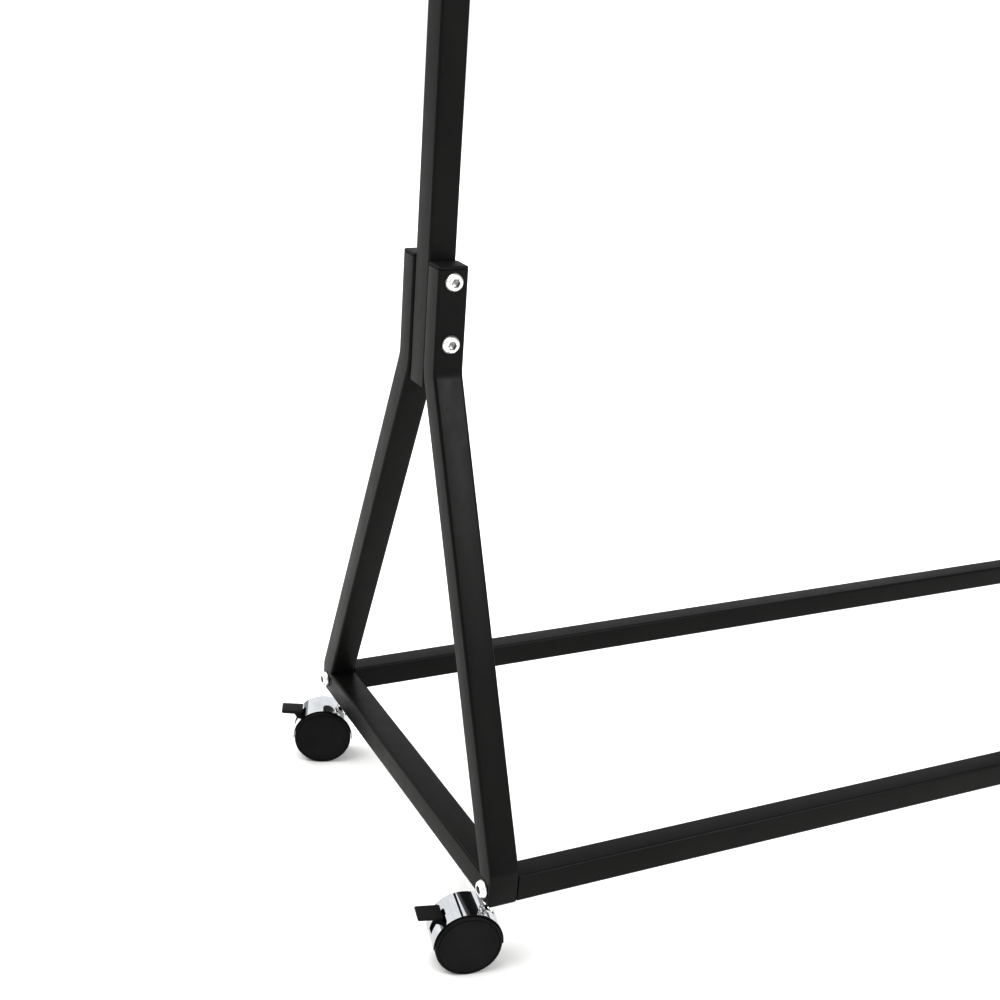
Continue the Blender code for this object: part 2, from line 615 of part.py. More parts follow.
def place_casters():
    stem = stem_mesh()
    hood = hood_mesh()
    core = core_mesh()
    wheel = wheel_mesh()
    brake = brake_mesh()
    axle = smooth(rod_mesh("caster_axle", AXLE_RADIUS, 2 * AXLE_HALF_LENGTH, HOLE_STEPS))
    swivels = {("left", "front"): FRONT_LEFT_SWIVEL, ("left", "rear"): REAR_LEFT_SWIVEL,
               ("right", "front"): REAR_LEFT_SWIVEL - 180.0, ("right", "rear"): FRONT_LEFT_SWIVEL - 180.0}
    for side, side_name in SIDES:
        for end, end_name in ENDS:
            name = f"caster_{end_name}_{side_name}"
            foot = shift(side * (HALF_WIDTH - POST_INSET), end * (HALF_DEPTH - STEM_INSET_Y))
            place(stem, f"{name}_stem", "zinc", foot)
            swivel = bpy.data.objects.new(f"{name}_swivel", None)
            parts.objects.link(swivel)
            swivel.matrix_world = foot @ turn(radians(swivels[side_name, end_name]), "Z")
            centre = shift(TRAIL, 0.0, WHEEL_RADIUS)
            ride(place(hood, f"{name}_hood", "chrome"), swivel, Matrix.Identity(4))
            ride(place(core, f"{name}_core", "black_plastic"), swivel, Matrix.Identity(4))
            ride(place(axle, f"{name}_axle", "zinc"), swivel, centre @ ALONG_Y)
            for face, face_name in ((1, "a"), (-1, "b")):
                inner = shift(y=face * WHEEL_INNER) @ turn(-face * pi / 2, "X")
                ride(place(wheel, f"{name}_wheel_{face_name}", "black_plastic"), swivel, centre @ inner)
            ride(place(brake, f"{name}_brake", "black_plastic"), swivel, shift(BRAKE_X, 0.0, BRAKE_Z))


# ---------------------------------------------------------------- build

SIDES = ((-1, "left"), (1, "right"))
ENDS = ((-1, "front"), (1, "rear"))

clear_scene()
parts = make_collection(STAND)
cutters = make_collection("cutters")

for side, side_name in SIDES:
    centre_x = side * (HALF_WIDTH - POST_INSET)
    make_end_rail(side, f"{side_name}_end_rail")
    make_post(side, f"{side_name}_post")
    make_cap(POST_WIDTH, POST_DEPTH, POST_CAP_PLUG, f"{side_name}_post_cap",
             shift(centre_x, 0.0, POST_TOP))
    for end, end_name in ENDS:
        make_leg(side, end, f"{side_name}_{end_name}_leg")
        make_cap(LEG_WIDTH, LEG_DEPTH, LEG_CAP_PLUG, f"{side_name}_{end_name}_leg_cap",
                 shift(centre_x, end * LEG_CENTRE, LEG_TOP))
for end, end_name in ENDS:
    make_long_rail(end, f"{end_name}_long_rail")
place_bolts()
place_panel()
place_casters()
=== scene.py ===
"""Looks of the pegboard display stand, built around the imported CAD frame.

Metres, +Z up, in the CAD's frame: +X runs along the board and -Y is the side that the post bolts'
heads are on. Pieces take their places and sizes from the CAD nodes' boxes.
"""

from math import acos, asin, cos, degrees, hypot, pi, radians, sin, tan

import bmesh
import bpy
from mathutils import Matrix, Vector


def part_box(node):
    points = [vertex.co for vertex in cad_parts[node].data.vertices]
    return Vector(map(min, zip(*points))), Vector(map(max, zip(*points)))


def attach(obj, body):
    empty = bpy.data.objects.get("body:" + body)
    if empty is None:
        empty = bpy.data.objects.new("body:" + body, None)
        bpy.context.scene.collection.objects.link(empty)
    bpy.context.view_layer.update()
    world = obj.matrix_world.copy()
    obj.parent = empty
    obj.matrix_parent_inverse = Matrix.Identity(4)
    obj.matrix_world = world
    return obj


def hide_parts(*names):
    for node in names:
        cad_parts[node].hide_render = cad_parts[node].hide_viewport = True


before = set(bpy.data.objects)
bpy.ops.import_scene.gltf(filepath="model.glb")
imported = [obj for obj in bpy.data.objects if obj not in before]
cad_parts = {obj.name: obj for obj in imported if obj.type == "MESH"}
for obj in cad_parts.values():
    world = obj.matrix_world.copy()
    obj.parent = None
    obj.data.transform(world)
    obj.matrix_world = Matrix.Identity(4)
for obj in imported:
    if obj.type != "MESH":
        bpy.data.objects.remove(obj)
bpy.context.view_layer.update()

# Tubes.
TUBE_CORNER = 0.0022
TUBE_WALL = 0.0015
GROUND_EDGE = 0.0016         # rounding of a welded end that was ground before coating
CORNER_STEPS = 6
END_STEPS = 4
CUT_EDGE = 0.0002            # broken edge of a tube that was cut square
RAIL_END_ROUND = 0.0006      # rounding of the long rails' ends
LEG_LEAN = radians(23.68)
LEG_BEND_RADIUS = 0.032
LEG_BEND_HEIGHT = 0.4157
LEG_BEND_STEPS = 14
LEG_DEPTH = 0.020

# Tube caps. An inset is measured inwards from the cap's side.
CAP_RIM_HEIGHT = 0.0025
CAP_SHOULDER = 0.0014
CAP_SHOULDER_STEPS = 6
CAP_CROWN = 0.0003
CAP_CROWN_POINTS = ((0.0045, 0.0001), (0.0075, 0.0))      # (inset, depth under the top)
CAP_EDGE = 0.0003            # broken lower edge of the rim
CAP_PLUG_GAP = 0.0004        # clearance of the plug in the tube
CAP_LEAST_CORNER = 0.0006

# Bolts. The shares are of the head's radius, the head's height or the shank's radius.
SOCKET_SHARE = 0.43          # half width across flats
SOCKET_DEPTH_SHARE = 0.58
SOCKET_TIP_SHARE = 0.45      # depth of the drill tip under the socket's floor, from its half width
SOCKET_TIP_RADIUS = 0.0004
SOCKET_CHAMFER = 0.00025
SOCKET_FLARE = 1.08
SOCKET_REACH = 1.2           # just past the hexagon's corners, from its half width
CROWN_SHARE = 1.24           # flat crown around the socket, from the socket's half width
DOME_SWEEP = radians(84.0)
DOME_STEPS = 9
LIP_SHARE = 0.16
SEAT_INSET = 0.0002
SHANK_CHAMFER_SHARE = 0.4
SHANK_TIP_SHARE = 0.7
HEAD_STEPS = 48
BOLT_SIZES = {"post_bolt": (0.0044, 0.004), "corner_bolt": (0.0044, 0.004),
              "panel_bolt": (0.0033, 0.003)}              # (head height, shank radius)

# Panel rails.
GROOVE_WIDTH = 0.007
GROOVE_DEPTH = 0.012
PANEL_RAIL_CORNER = 0.0016
PANEL_RAIL_LIP = 0.0007
LIP_STEPS = 4

# Pegboard.
PEG_PITCH = 0.0254
PEG_HOLE_RADIUS = 0.0032
PEG_HOLE_STEPS = 16
PEG_HOLE_EDGE = 0.0003

# Casters.
WHEEL_RADIUS = 0.025
WHEEL_WIDTH = 0.0108
WHEEL_STEPS = 96
TRAIL = 0.017
HOOD_RADIUS = 0.0262
HOOD_THICKNESS = 0.0007
HOOD_SKIRT = 0.0235          # height of the skirt's edge above the floor
HOOD_HALF_WIDTH = 0.0145
HOOD_BANDS = (0.0080, HOOD_HALF_WIDTH - 0.002)            # grid lines between the slot and the side
HOOD_STEP = 2.5              # degrees of the hood's arc for each strip of its grid
HOOD_EDGE = 0.0003
SLOT_HALF_WIDTH = 0.0032
SLOT_HEIGHTS = (0.0045, 0.0206)                           # above the axle
STEM_HOLE_HALF = 0.0034
CORE_GAP = 0.0003
CORE_HALF_WIDTH = 0.0048
CORE_BEHIND_STEM = 0.0055
FORK_ANGLE = 62.0            # degrees on the hood's arc where the core gives way to the brake's fork
CORE_STEPS = 26
WHEEL_GAP = 0.0055           # from the caster's middle to a wheel's inner face
WHEEL_EDGE = 0.0012          # rounding of both edges of the tread
DISC_RADIUS = 0.0225
DISC_RISE = 0.0012
DISC_STEP = 0.00016          # height of the disc's rim over the tread's side
RIM_GROOVE_DEPTH = 0.00035
BRAKE_PIVOT = (0.014, 0.011)
BARREL_RADIUS = 0.0034
BARREL_STEPS = 18
NECK_HALF_WIDTH = 0.0028
TREAD_HALF_WIDTH = 0.0074
BRAKE_EDGE = 0.0006
STEM_BOTTOM = 0.0235
FLANGE_BOTTOM = 0.0497
FLANGE_TOP = 0.0520
STEM_TOP = 0.0740
PIN_RADIUS = 0.003
PIN_CHAMFER = 0.0006
FLANGE_RADIUS = 0.0050
FLANGE_INSET = 0.0003
FLANGE_CHAMFER = 0.0004
THREAD_RADIUS = 0.004
THREAD_PITCH = 0.00125
THREAD_DEPTH = 0.0007
THREAD_RINGS = 10            # rings for each turn of the thread
THREAD_SLOPE = 1.6           # the flank's slope and foot shape the thread's flat crests and roots
THREAD_FOOT = 0.3
SWIVELS = {"front_left": 168.0, "rear_left": 159.0, "front_right": -21.0, "rear_right": -12.0}

# Camera.
CAMERA_PLACE = (-1.0496, -0.9623, 0.7167)
CAMERA_HEADING = 27.20       # degrees from +Y towards +X
CAMERA_PITCH = -20.97
CAMERA_ROLL = 4.10
CAMERA_LENS = 53.43

# Studio.
FLOOR_HALF = 400.0
WORLD_STRENGTH = 0.62
SUN_POWER = 2.0
SUN_SPREAD = radians(60.0)
SUN_DIRECTION = (0.35, -0.25, -1.0)
VIEW_GAMMA = 0.75            # under 1 darkens mid-tones and keeps white

STAND = "stand"
SIDES = ((-1, "left"), (1, "right"))
ENDS = ((-1, "front"), (1, "rear"))


# ---------------------------------------------------------------- shader nodes

class Shader:
    """A Principled material under construction. A call that makes a value gives its socket."""

    def __init__(self, name, colour, roughness, metallic=0.0):
        self.material = bpy.data.materials.new(name)
        self.material.use_nodes = True
        self.tree = self.material.node_tree
        self.surface = self.tree.nodes["Principled BSDF"]
        self.surface.inputs["Base Color"].default_value = (*colour, 1.0)
        self.surface.inputs["Roughness"].default_value = roughness
        self.surface.inputs["Metallic"].default_value = metallic
        self.material.diffuse_color = (*colour, 1.0)
        self.place = self.node("ShaderNodeTexCoord").outputs["Object"]

    def node(self, kind, **settings):
        made = self.tree.nodes.new(kind)
        for key, value in settings.items():
            setattr(made, key, value)
        return made

    def feed(self, socket, value):
        if isinstance(value, bpy.types.NodeSocket):
            self.tree.links.new(value, socket)
        else:
            socket.default_value = value

    def stretch(self, scale):
        mapping = self.node("ShaderNodeMapping")
        self.feed(mapping.inputs["Vector"], self.place)
        mapping.inputs["Scale"].default_value = scale
        return mapping.outputs["Vector"]

    def noise(self, scale, detail=3.0, roughness=0.5, place=None):
        made = self.node("ShaderNodeTexNoise")
        self.feed(made.inputs["Vector"], place or self.place)
        made.inputs["Scale"].default_value = scale
        made.inputs["Detail"].default_value = detail
        made.inputs["Roughness"].default_value = roughness
        return made.outputs["Fac"]

    def remap(self, value, low, high, new_low=0.0, new_high=1.0):
        made = self.node("ShaderNodeMapRange")
        self.feed(made.inputs["Value"], value)
        made.inputs["From Min"].default_value = low
        made.inputs["From Max"].default_value = high
        made.inputs["To Min"].default_value = new_low
        made.inputs["To Max"].default_value = new_high
        return made.outputs["Result"]

    def math(self, operation, first, second):
        made = self.node("ShaderNodeMath", operation=operation)
        self.feed(made.inputs[0], first)
        self.feed(made.inputs[1], second)
        return made.outputs[0]

    def mix(self, factor, first, second):
        made = self.node("ShaderNodeMix", data_type="RGBA")
        self.feed(made.inputs["Factor"], factor)
        self.feed(made.inputs["A"], (*first, 1.0) if isinstance(first, tuple) else first)
        self.feed(made.inputs["B"], (*second, 1.0) if isinstance(second, tuple) else second)
        return made.outputs["Result"]

    def edges(self, radius, low, high):
        """1 along convex and concave edges, 0 on flat faces."""
        bevel = self.node("ShaderNodeBevel", samples=4)
        bevel.inputs["Radius"].default_value = radius
        geometry = self.node("ShaderNodeNewGeometry")
        dot = self.node("ShaderNodeVectorMath", operation="DOT_PRODUCT")
        self.feed(dot.inputs[0], bevel.outputs["Normal"])
        self.feed(dot.inputs[1], geometry.outputs["Normal"])
        return self.remap(dot.outputs["Value"], low, high, 1.0, 0.0)

    def colour(self, value):
        self.feed(self.surface.inputs["Base Color"], value)

    def roughness(self, value):
        self.feed(self.surface.inputs["Roughness"], value)

    def bump(self, height, distance, strength):
        made = self.node("ShaderNodeBump")
        made.inputs["Strength"].default_value = strength
        made.inputs["Distance"].default_value = distance
        self.feed(made.inputs["Height"], height)
        self.feed(self.surface.inputs["Normal"], made.outputs["Normal"])

    def set(self, socket, value):
        self.surface.inputs[socket].default_value = value


# ---------------------------------------------------------------- materials

def powder_coat():
    """Satin black powder coat: fine orange peel, soft mottling, a little rub along the edges."""
    shader = Shader("powder_coat", (0.014, 0.014, 0.014), 0.42)
    peel = shader.noise(900.0, detail=2.0)
    grain = shader.noise(2600.0, detail=1.0)
    mottle = shader.noise(14.0, detail=4.0, roughness=0.6)
    scuffs = shader.noise(60.0, detail=5.0, roughness=0.75, place=shader.stretch((1.0, 1.0, 0.25)))
    base = shader.mix(shader.remap(mottle, 0.35, 0.65), (0.0052, 0.0051, 0.0049),
                      (0.0078, 0.0076, 0.0072))
    worn = shader.remap(scuffs, 0.55, 0.75, 0.0, 0.35)
    rub = shader.math("MULTIPLY", shader.edges(radius=0.0012, low=0.80, high=0.99), worn)
    shader.colour(shader.mix(rub, base, (0.050, 0.049, 0.047)))
    fine = shader.remap(grain, 0.3, 0.7, -0.04, 0.04)
    broad = shader.remap(scuffs, 0.35, 0.7, 0.36, 0.45)
    shader.roughness(shader.math("ADD", broad, fine))
    relief = shader.math("ADD", peel, shader.math("MULTIPLY", grain, 0.35))
    shader.bump(relief, distance=0.00006, strength=0.55)
    shader.set("Specular IOR Level", 0.19)
    return shader.material


def moulded_plastic(name, dark, light, roughness, texture):
    """Black moulded plastic: fine spark-eroded texture and faint flow marks."""
    shader = Shader(name, dark, roughness)
    flow = shader.noise(45.0, detail=4.0, roughness=0.6)
    grain = shader.noise(texture, detail=2.0)
    dust = shader.noise(260.0, detail=6.0, roughness=0.8)
    base = shader.mix(shader.remap(flow, 0.35, 0.65), dark, light)
    dusty = tuple(0.02 + 1.6 * channel for channel in light)
    shader.colour(shader.mix(shader.remap(dust, 0.62, 0.80, 0.0, 0.30), base, dusty))
    shader.roughness(shader.remap(flow, 0.3, 0.7, roughness - 0.05, roughness + 0.06))
    shader.bump(grain, distance=0.00004, strength=0.6)
    shader.set("Specular IOR Level", 0.14)
    return shader.material


def chrome():
    """Bright chrome plate: almost a mirror, with faint smears and a slow ripple."""
    shader = Shader("chrome", (0.50, 0.51, 0.53), 0.05, 1.0)
    smear = shader.noise(90.0, detail=5.0, roughness=0.7, place=shader.stretch((1.0, 0.4, 1.6)))
    ripple = shader.noise(120.0, detail=1.0)
    haze = shader.remap(smear, 0.45, 0.75)
    shader.colour(shader.mix(haze, (0.52, 0.53, 0.55), (0.44, 0.45, 0.46)))
    shader.roughness(shader.remap(smear, 0.40, 0.75, 0.030, 0.10))
    shader.bump(ripple, distance=0.00003, strength=0.35)
    return shader.material


def zinc(name, roughness, tone=1.0):
    """Bright zinc plate: fine grain and blotchy gloss. A tone under 1 darkens the whole material, as
    painted shade for the bolts' socket recesses.
    """
    colours = ((0.97, 0.97, 0.96), (0.91, 0.91, 0.89), (0.78, 0.77, 0.74))
    bright, grey, dull = (tuple(tone * channel for channel in colour) for colour in colours)
    shader = Shader(name, bright, roughness, 1.0)
    blotch = shader.noise(420.0, detail=4.0, roughness=0.6)
    grain = shader.noise(3200.0, detail=2.0)
    stain = shader.noise(150.0, detail=5.0, roughness=0.7)
    base = shader.mix(shader.remap(blotch, 0.35, 0.65), bright, grey)
    shader.colour(shader.mix(shader.remap(stain, 0.60, 0.80, 0.0, 0.5), base, dull))
    shader.roughness(shader.remap(blotch, 0.3, 0.7, roughness - 0.07, roughness + 0.08))
    shader.bump(grain, distance=0.00003, strength=0.4)
    return shader.material


def board_paint():
    """White enamel on hardboard: slightly warm, fine roller stipple, faint marks."""
    shader = Shader("board_paint", (0.56, 0.55, 0.53), 0.5)
    tone = shader.noise(6.0, detail=4.0)
    marks = shader.noise(32.0, detail=7.0, roughness=0.75)
    stipple = shader.noise(1100.0, detail=2.0)
    base = shader.mix(shader.remap(tone, 0.35, 0.65), (0.58, 0.573, 0.552), (0.545, 0.538, 0.514))
    shader.colour(shader.mix(shader.remap(marks, 0.66, 0.82, 0.0, 0.35), base, (0.42, 0.41, 0.385)))
    shader.roughness(shader.remap(marks, 0.35, 0.7, 0.44, 0.60))
    shader.bump(stipple, distance=0.00005, strength=0.5)
    return shader.material


def board_fibre():
    """Raw brown hardboard in the holes and along the cut edges."""
    shader = Shader("board_fibre", (0.20, 0.12, 0.07), 0.85)
    fibre = shader.noise(1500.0, detail=5.0, roughness=0.7, place=shader.stretch((1.0, 3.0, 1.0)))
    shader.colour(shader.mix(shader.remap(fibre, 0.35, 0.65), (0.13, 0.075, 0.045),
                             (0.27, 0.17, 0.10)))
    shader.roughness(shader.remap(fibre, 0.3, 0.7, 0.75, 0.95))
    shader.bump(fibre, distance=0.00015, strength=0.8)
    return shader.material


def floor_paper():
    """Pale studio paper."""
    shader = Shader("floor_paper", (0.88, 0.88, 0.87), 0.85)
    tone = shader.noise(0.7, detail=3.0)
    fibre = shader.noise(700.0, detail=4.0)
    shader.colour(shader.mix(tone, (0.905, 0.905, 0.90), (0.885, 0.885, 0.88)))
    shader.bump(fibre, distance=0.00005, strength=0.2)
    return shader.material


COAT = powder_coat()
CAP = moulded_plastic("cap_plastic", (0.008, 0.008, 0.008), (0.012, 0.012, 0.0115), 0.50, 1800.0)
NYLON = moulded_plastic("caster_plastic", (0.008, 0.008, 0.0085), (0.013, 0.013, 0.0128), 0.44, 1500.0)
CHROME = chrome()
BOLT = zinc("zinc_bolt", 0.40)
# Darker copy of the zinc for the bolts' sockets: painted shade inside the recess.
SOCKET = zinc("zinc_socket_painted_shade", 0.50, 0.42)
STEEL = zinc("zinc_stem", 0.18)
PAINT = board_paint()
FIBRE = board_fibre()


# ---------------------------------------------------------------- shapes

def place_piece(name, mesh, materials, body, stands_for=(), matrix=None):
    """Link a finished mesh as a piece of the object, riding on a CAD body."""
    if matrix:
        mesh.transform(matrix)
    piece = bpy.data.objects.new(name, mesh)
    bpy.context.scene.collection.objects.link(piece)
    for material in materials:
        mesh.materials.append(material)
    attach(piece, body)
    if stands_for:
        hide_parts(*stands_for)
    return piece


def mesh_from(shape, name, sharp=35.0):
    """Finish a bmesh as a smooth-shaded mesh with sharp edges over an angle in degrees."""
    bmesh.ops.recalc_face_normals(shape, faces=shape.faces)
    mesh = bpy.data.meshes.new(name)
    shape.to_mesh(mesh)
    shape.free()
    mesh.shade_smooth()
    mesh.set_sharp_from_angle(angle=radians(sharp))
    return mesh


def add_skin(shape, rings, closed=False):
    """Join rings of points, all with the same count, by quads.

    The last ring joins the first one if closed, and otherwise the end rings are filled.
    """
    made = [[shape.verts.new(point) for point in ring] for ring in rings]
    count = len(made[0])
    pairs = list(zip(made, made[1:]))
    if closed:
        pairs.append((made[-1], made[0]))
    for lower, upper in pairs:
        for i in range(count):
            j = (i + 1) % count
            shape.faces.new((lower[i], lower[j], upper[j], upper[i]))
    if not closed:
        shape.faces.new(made[0])
        shape.faces.new(made[-1])


def rounded_rectangle(width, height, corner):
    """Outline of a rectangle with round corners about the origin, anticlockwise."""
    points = []
    for quarter, (side_x, side_y) in enumerate(((1, 1), (-1, 1), (-1, -1), (1, -1))):
        for step in range(CORNER_STEPS + 1):
            angle = (quarter + step / CORNER_STEPS) * pi / 2
            points.append((side_x * (width / 2 - corner) + corner * cos(angle),
                           side_y * (height / 2 - corner) + corner * sin(angle)))
    return points


def circle(radius, steps=HEAD_STEPS):
    angles = [2 * pi * i / steps for i in range(steps)]
    return [(radius * cos(angle), radius * sin(angle)) for angle in angles]


def hexagon(apothem):
    """A hexagon with as many points as a circle."""
    points = []
    for i in range(HEAD_STEPS):
        angle = 2 * pi * i / HEAD_STEPS
        reach = apothem / cos((angle % (pi / 3)) - pi / 6)
        points.append((reach * cos(angle), reach * sin(angle)))
    return points


def level(points, height):
    return [Vector((x, y, height)) for x, y in points]


def arc(centre, radius, start, end, steps):
    """Points of an arc in the (across, up) plane, angles in degrees."""
    points = []
    for step in range(steps + 1):
        angle = radians(start + (end - start) * step / steps)
        points.append((centre[0] + radius * cos(angle), centre[1] + radius * sin(angle)))
    return points


def path_rings(path, section, side):
    """Rings of a section of (across, along side) points swept along a path in the plane of a bend."""
    rings = []
    for i, point in enumerate(path):
        before = (point - path[i - 1]).normalized() if i else None
        after = (path[i + 1] - point).normalized() if i + 1 < len(path) else None
        tangent = ((before or after) + (after or before)).normalized()
        normal = side.cross(tangent).normalized()
        stretch = 1.0 / max(0.2, tangent.dot(after or before))
        rings.append([point + normal * u * stretch + side * v for u, v in section])
    return rings


def round_edges(shape, faces, width):
    """Round all the edges around some faces. The edges are taken in the mesh's own order."""
    edges = [edge for edge in shape.edges if any(face in faces for face in edge.link_faces)]
    bmesh.ops.bevel(shape, geom=edges, offset=width, segments=END_STEPS, profile=0.5,
                    affect="EDGES", clamp_overlap=True)


def cut(shape, point, normal):
    """Cut everything away on the normal's side of a plane and close the cut. Gives the new faces."""
    found = bmesh.ops.bisect_plane(shape, geom=shape.verts[:] + shape.edges[:] + shape.faces[:],
                                   plane_co=point, plane_no=normal, clear_outer=True)
    edges = [item for item in found["geom_cut"] if isinstance(item, bmesh.types.BMEdge)]
    filled = bmesh.ops.contextual_create(shape, geom=edges)
    return filled["faces"]


# ---------------------------------------------------------------- end frames

def place_tube(node, axis, end_round=GROUND_EDGE, wall=0.0):
    """A straight tube that fills a CAD node's box.

    With a wall it is open at both ends, and without one its ends are closed and rounded.
    """
    name = f"{node}_tube"
    low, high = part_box(node)
    middle = (low + high) / 2
    size = high - low
    along = Vector([1.0 if i == axis else 0.0 for i in range(3)])
    side = Vector((0.0, 0.0, 1.0)) if axis < 2 else Vector((1.0, 0.0, 0.0))
    across = side.cross(along)
    width = abs(size.dot(across))
    height = abs(size.dot(side))
    half = along * size[axis] / 2
    shape = bmesh.new()
    outer = rounded_rectangle(width, height, TUBE_CORNER)
    ends = [middle - half, middle + half]
    if wall:
        inner = rounded_rectangle(width - 2 * wall, height - 2 * wall, TUBE_CORNER - wall)
        shrunk = rounded_rectangle(width - 2 * CUT_EDGE, height - 2 * CUT_EDGE, TUBE_CORNER - CUT_EDGE)
        step = along * CUT_EDGE
        rings = path_rings([ends[0] + step, ends[1] - step], outer, side)
        start = path_rings(ends, shrunk, side)
        bore = path_rings(ends, inner, side)
        add_skin(shape, [start[0], rings[0], rings[1], start[1], bore[1], bore[0]], closed=True)
    else:
        rings = []
        for step in range(2 * END_STEPS + 2):
            nearest = min(step, 2 * END_STEPS + 1 - step)
            angle = nearest / END_STEPS * pi / 2
            inset = end_round * (1.0 - sin(angle))
            back = along * end_round * (1.0 - cos(angle))
            centre = ends[0] + back if step <= END_STEPS else ends[1] - back
            outline = rounded_rectangle(width - 2 * inset, height - 2 * inset, TUBE_CORNER - inset)
            rings.append([centre + across * u + side * v for u, v in outline])
        add_skin(shape, rings)
    place_piece(name, mesh_from(shape, name), [COAT], STAND, (node,))


def leg_centre_line(top, bottom, centre):
    """Points (out, up) of a leg: down beside the post, round the bend and out to the foot."""
    tangent = LEG_BEND_RADIUS * tan(LEG_LEAN / 2)
    start = LEG_BEND_HEIGHT + tangent
    hub = centre + LEG_BEND_RADIUS
    points = [(centre, top)]
    for step in range(LEG_BEND_STEPS + 1):
        angle = LEG_LEAN * step / LEG_BEND_STEPS
        points.append((hub - LEG_BEND_RADIUS * cos(angle), start - LEG_BEND_RADIUS * sin(angle)))
    drop = points[-1][1] - bottom
    points.append((points[-1][0] + drop * tan(LEG_LEAN), bottom))
    return points


def place_leg(side_name, end, end_name):
    """A bent leg. Its foot is cut upright, ground round, and runs down into the end rail's rounding."""
    node = f"{side_name}_{end_name}_leg"
    low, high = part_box(node)
    rail_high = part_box(f"{side_name}_end_rail")[1]
    x = (low.x + high.x) / 2
    foot = max(abs(low.y), abs(high.y))
    inner = min(abs(low.y), abs(high.y))
    centre = inner + LEG_DEPTH / 2
    seat = rail_high.z - GROUND_EDGE
    line = leg_centre_line(high.z, seat - LEG_DEPTH, centre)
    path = [Vector((x, end * out, up)) for out, up in line]
    section = rounded_rectangle(LEG_DEPTH, high.x - low.x, TUBE_CORNER)
    shape = bmesh.new()
    add_skin(shape, path_rings(path, section, Vector((1.0, 0.0, 0.0))))
    faces = cut(shape, (x, end * foot, 0.0), (0.0, end, 0.0))
    round_edges(shape, faces, GROUND_EDGE)
    cut(shape, (x, 0.0, seat), (0.0, 0.0, -1.0))
    place_piece(f"{node}_tube", mesh_from(shape, node), [COAT], STAND, (node,))


def place_cap(node):
    """A tube's end cap: a plug in the tube, a short upright rim, a round shoulder and a low crown."""
    low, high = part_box(node)
    width, depth = high.x - low.x, high.y - low.y
    middle_x, middle_y = (low.x + high.x) / 2, (low.y + high.y) / 2
    rim_low = high.z - CAP_RIM_HEIGHT
    plug_inset = TUBE_WALL + CAP_PLUG_GAP
    profile = [(plug_inset, low.z), (plug_inset, rim_low), (CAP_EDGE, rim_low), (0.0, rim_low + CAP_EDGE)]
    for step in range(CAP_SHOULDER_STEPS + 1):
        angle = step / CAP_SHOULDER_STEPS * pi / 2
        profile.append((CAP_SHOULDER * (1.0 - cos(angle)),
                        high.z - CAP_CROWN - CAP_SHOULDER * (1.0 - sin(angle))))
    profile += [(inset, high.z - depth_under) for inset, depth_under in CAP_CROWN_POINTS]
    rings = []
    for inset, height in profile:
        corner = max(TUBE_CORNER - inset, CAP_LEAST_CORNER)
        outline = rounded_rectangle(width - 2 * inset, depth - 2 * inset, corner)
        rings.append(level([(x + middle_x, y + middle_y) for x, y in outline], height))
    shape = bmesh.new()
    add_skin(shape, rings)
    place_piece(f"{node}_moulding", mesh_from(shape, node, 50.0), [CAP], STAND, (node,))


def place_end_frames():
    for side, side_name in SIDES:
        place_tube(f"{side_name}_end_rail", axis=1)
        place_tube(f"{side_name}_post", axis=2, wall=TUBE_WALL)
        place_cap(f"{side_name}_post_cap")
        for end, end_name in ENDS:
            place_leg(side_name, end, end_name)
            place_cap(f"{side_name}_{end_name}_leg_cap")
    for end, end_name in ENDS:
        place_tube(f"{end_name}_long_rail", axis=0, end_round=RAIL_END_ROUND)


# ---------------------------------------------------------------- fasteners

def bolt_shape(head, head_height, shank, length):
    """Button head with a hex socket, and a shank with a chamfered end. The seat is at z = 0."""
    socket = head * SOCKET_SHARE
    floor = head_height - head_height * SOCKET_DEPTH_SHARE
    crown = socket * CROWN_SHARE
    rings = [level(circle(SOCKET_TIP_RADIUS), floor - socket * SOCKET_TIP_SHARE),
             level(hexagon(socket), floor),
             level(hexagon(socket), head_height - SOCKET_CHAMFER),
             level(hexagon(socket * SOCKET_FLARE), head_height),
             level(circle(crown), head_height)]
    lip = head_height * LIP_SHARE
    for step in range(1, DOME_STEPS + 1):
        angle = step / DOME_STEPS * DOME_SWEEP
        out = sin(angle) / sin(DOME_SWEEP)
        up = (cos(angle) - cos(DOME_SWEEP)) / (1.0 - cos(DOME_SWEEP))
        rings.append(level(circle(crown + (head - crown) * out), lip + (head_height - lip) * up))
    rings += [level(circle(head), lip / 2), level(circle(head - SEAT_INSET), 0.0),
              level(circle(shank), 0.0), level(circle(shank), shank * SHANK_CHAMFER_SHARE - length),
              level(circle(shank * SHANK_TIP_SHARE), -length)]
    shape = bmesh.new()
    add_skin(shape, rings)
    # Faces inside the socket take the second material, the darker zinc that is painted shade in the recess.
    for face in shape.faces:
        reach = max(hypot(vertex.co.x, vertex.co.y) for vertex in face.verts)
        heights = [vertex.co.z for vertex in face.verts]
        inside = min(heights) > -length / 2 and max(heights) < head_height - SOCKET_CHAMFER / 2
        if inside and reach < socket * SOCKET_REACH:
            face.material_index = 1
    return shape


def place_bolt(node, where, facing):
    """A bolt along the X or Y axis, with its head at the facing end of its CAD node's box."""
    head_height, shank = BOLT_SIZES[where]
    low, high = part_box(node)
    axis = 0 if facing[0] else 1
    shape = bolt_shape((high.z - low.z) / 2, head_height, shank, high[axis] - low[axis] - head_height)
    seat = (low + high) / 2
    seat[axis] = (high[axis] if facing[axis] > 0 else low[axis]) - facing[axis] * head_height
    turn = Vector((*facing, 0.0)).to_track_quat("Z", "Y").to_matrix().to_4x4()
    place_piece(f"{node}_button", mesh_from(shape, node, 40.0), [BOLT, SOCKET], STAND, (node,),
                Matrix.Translation(seat) @ turn)


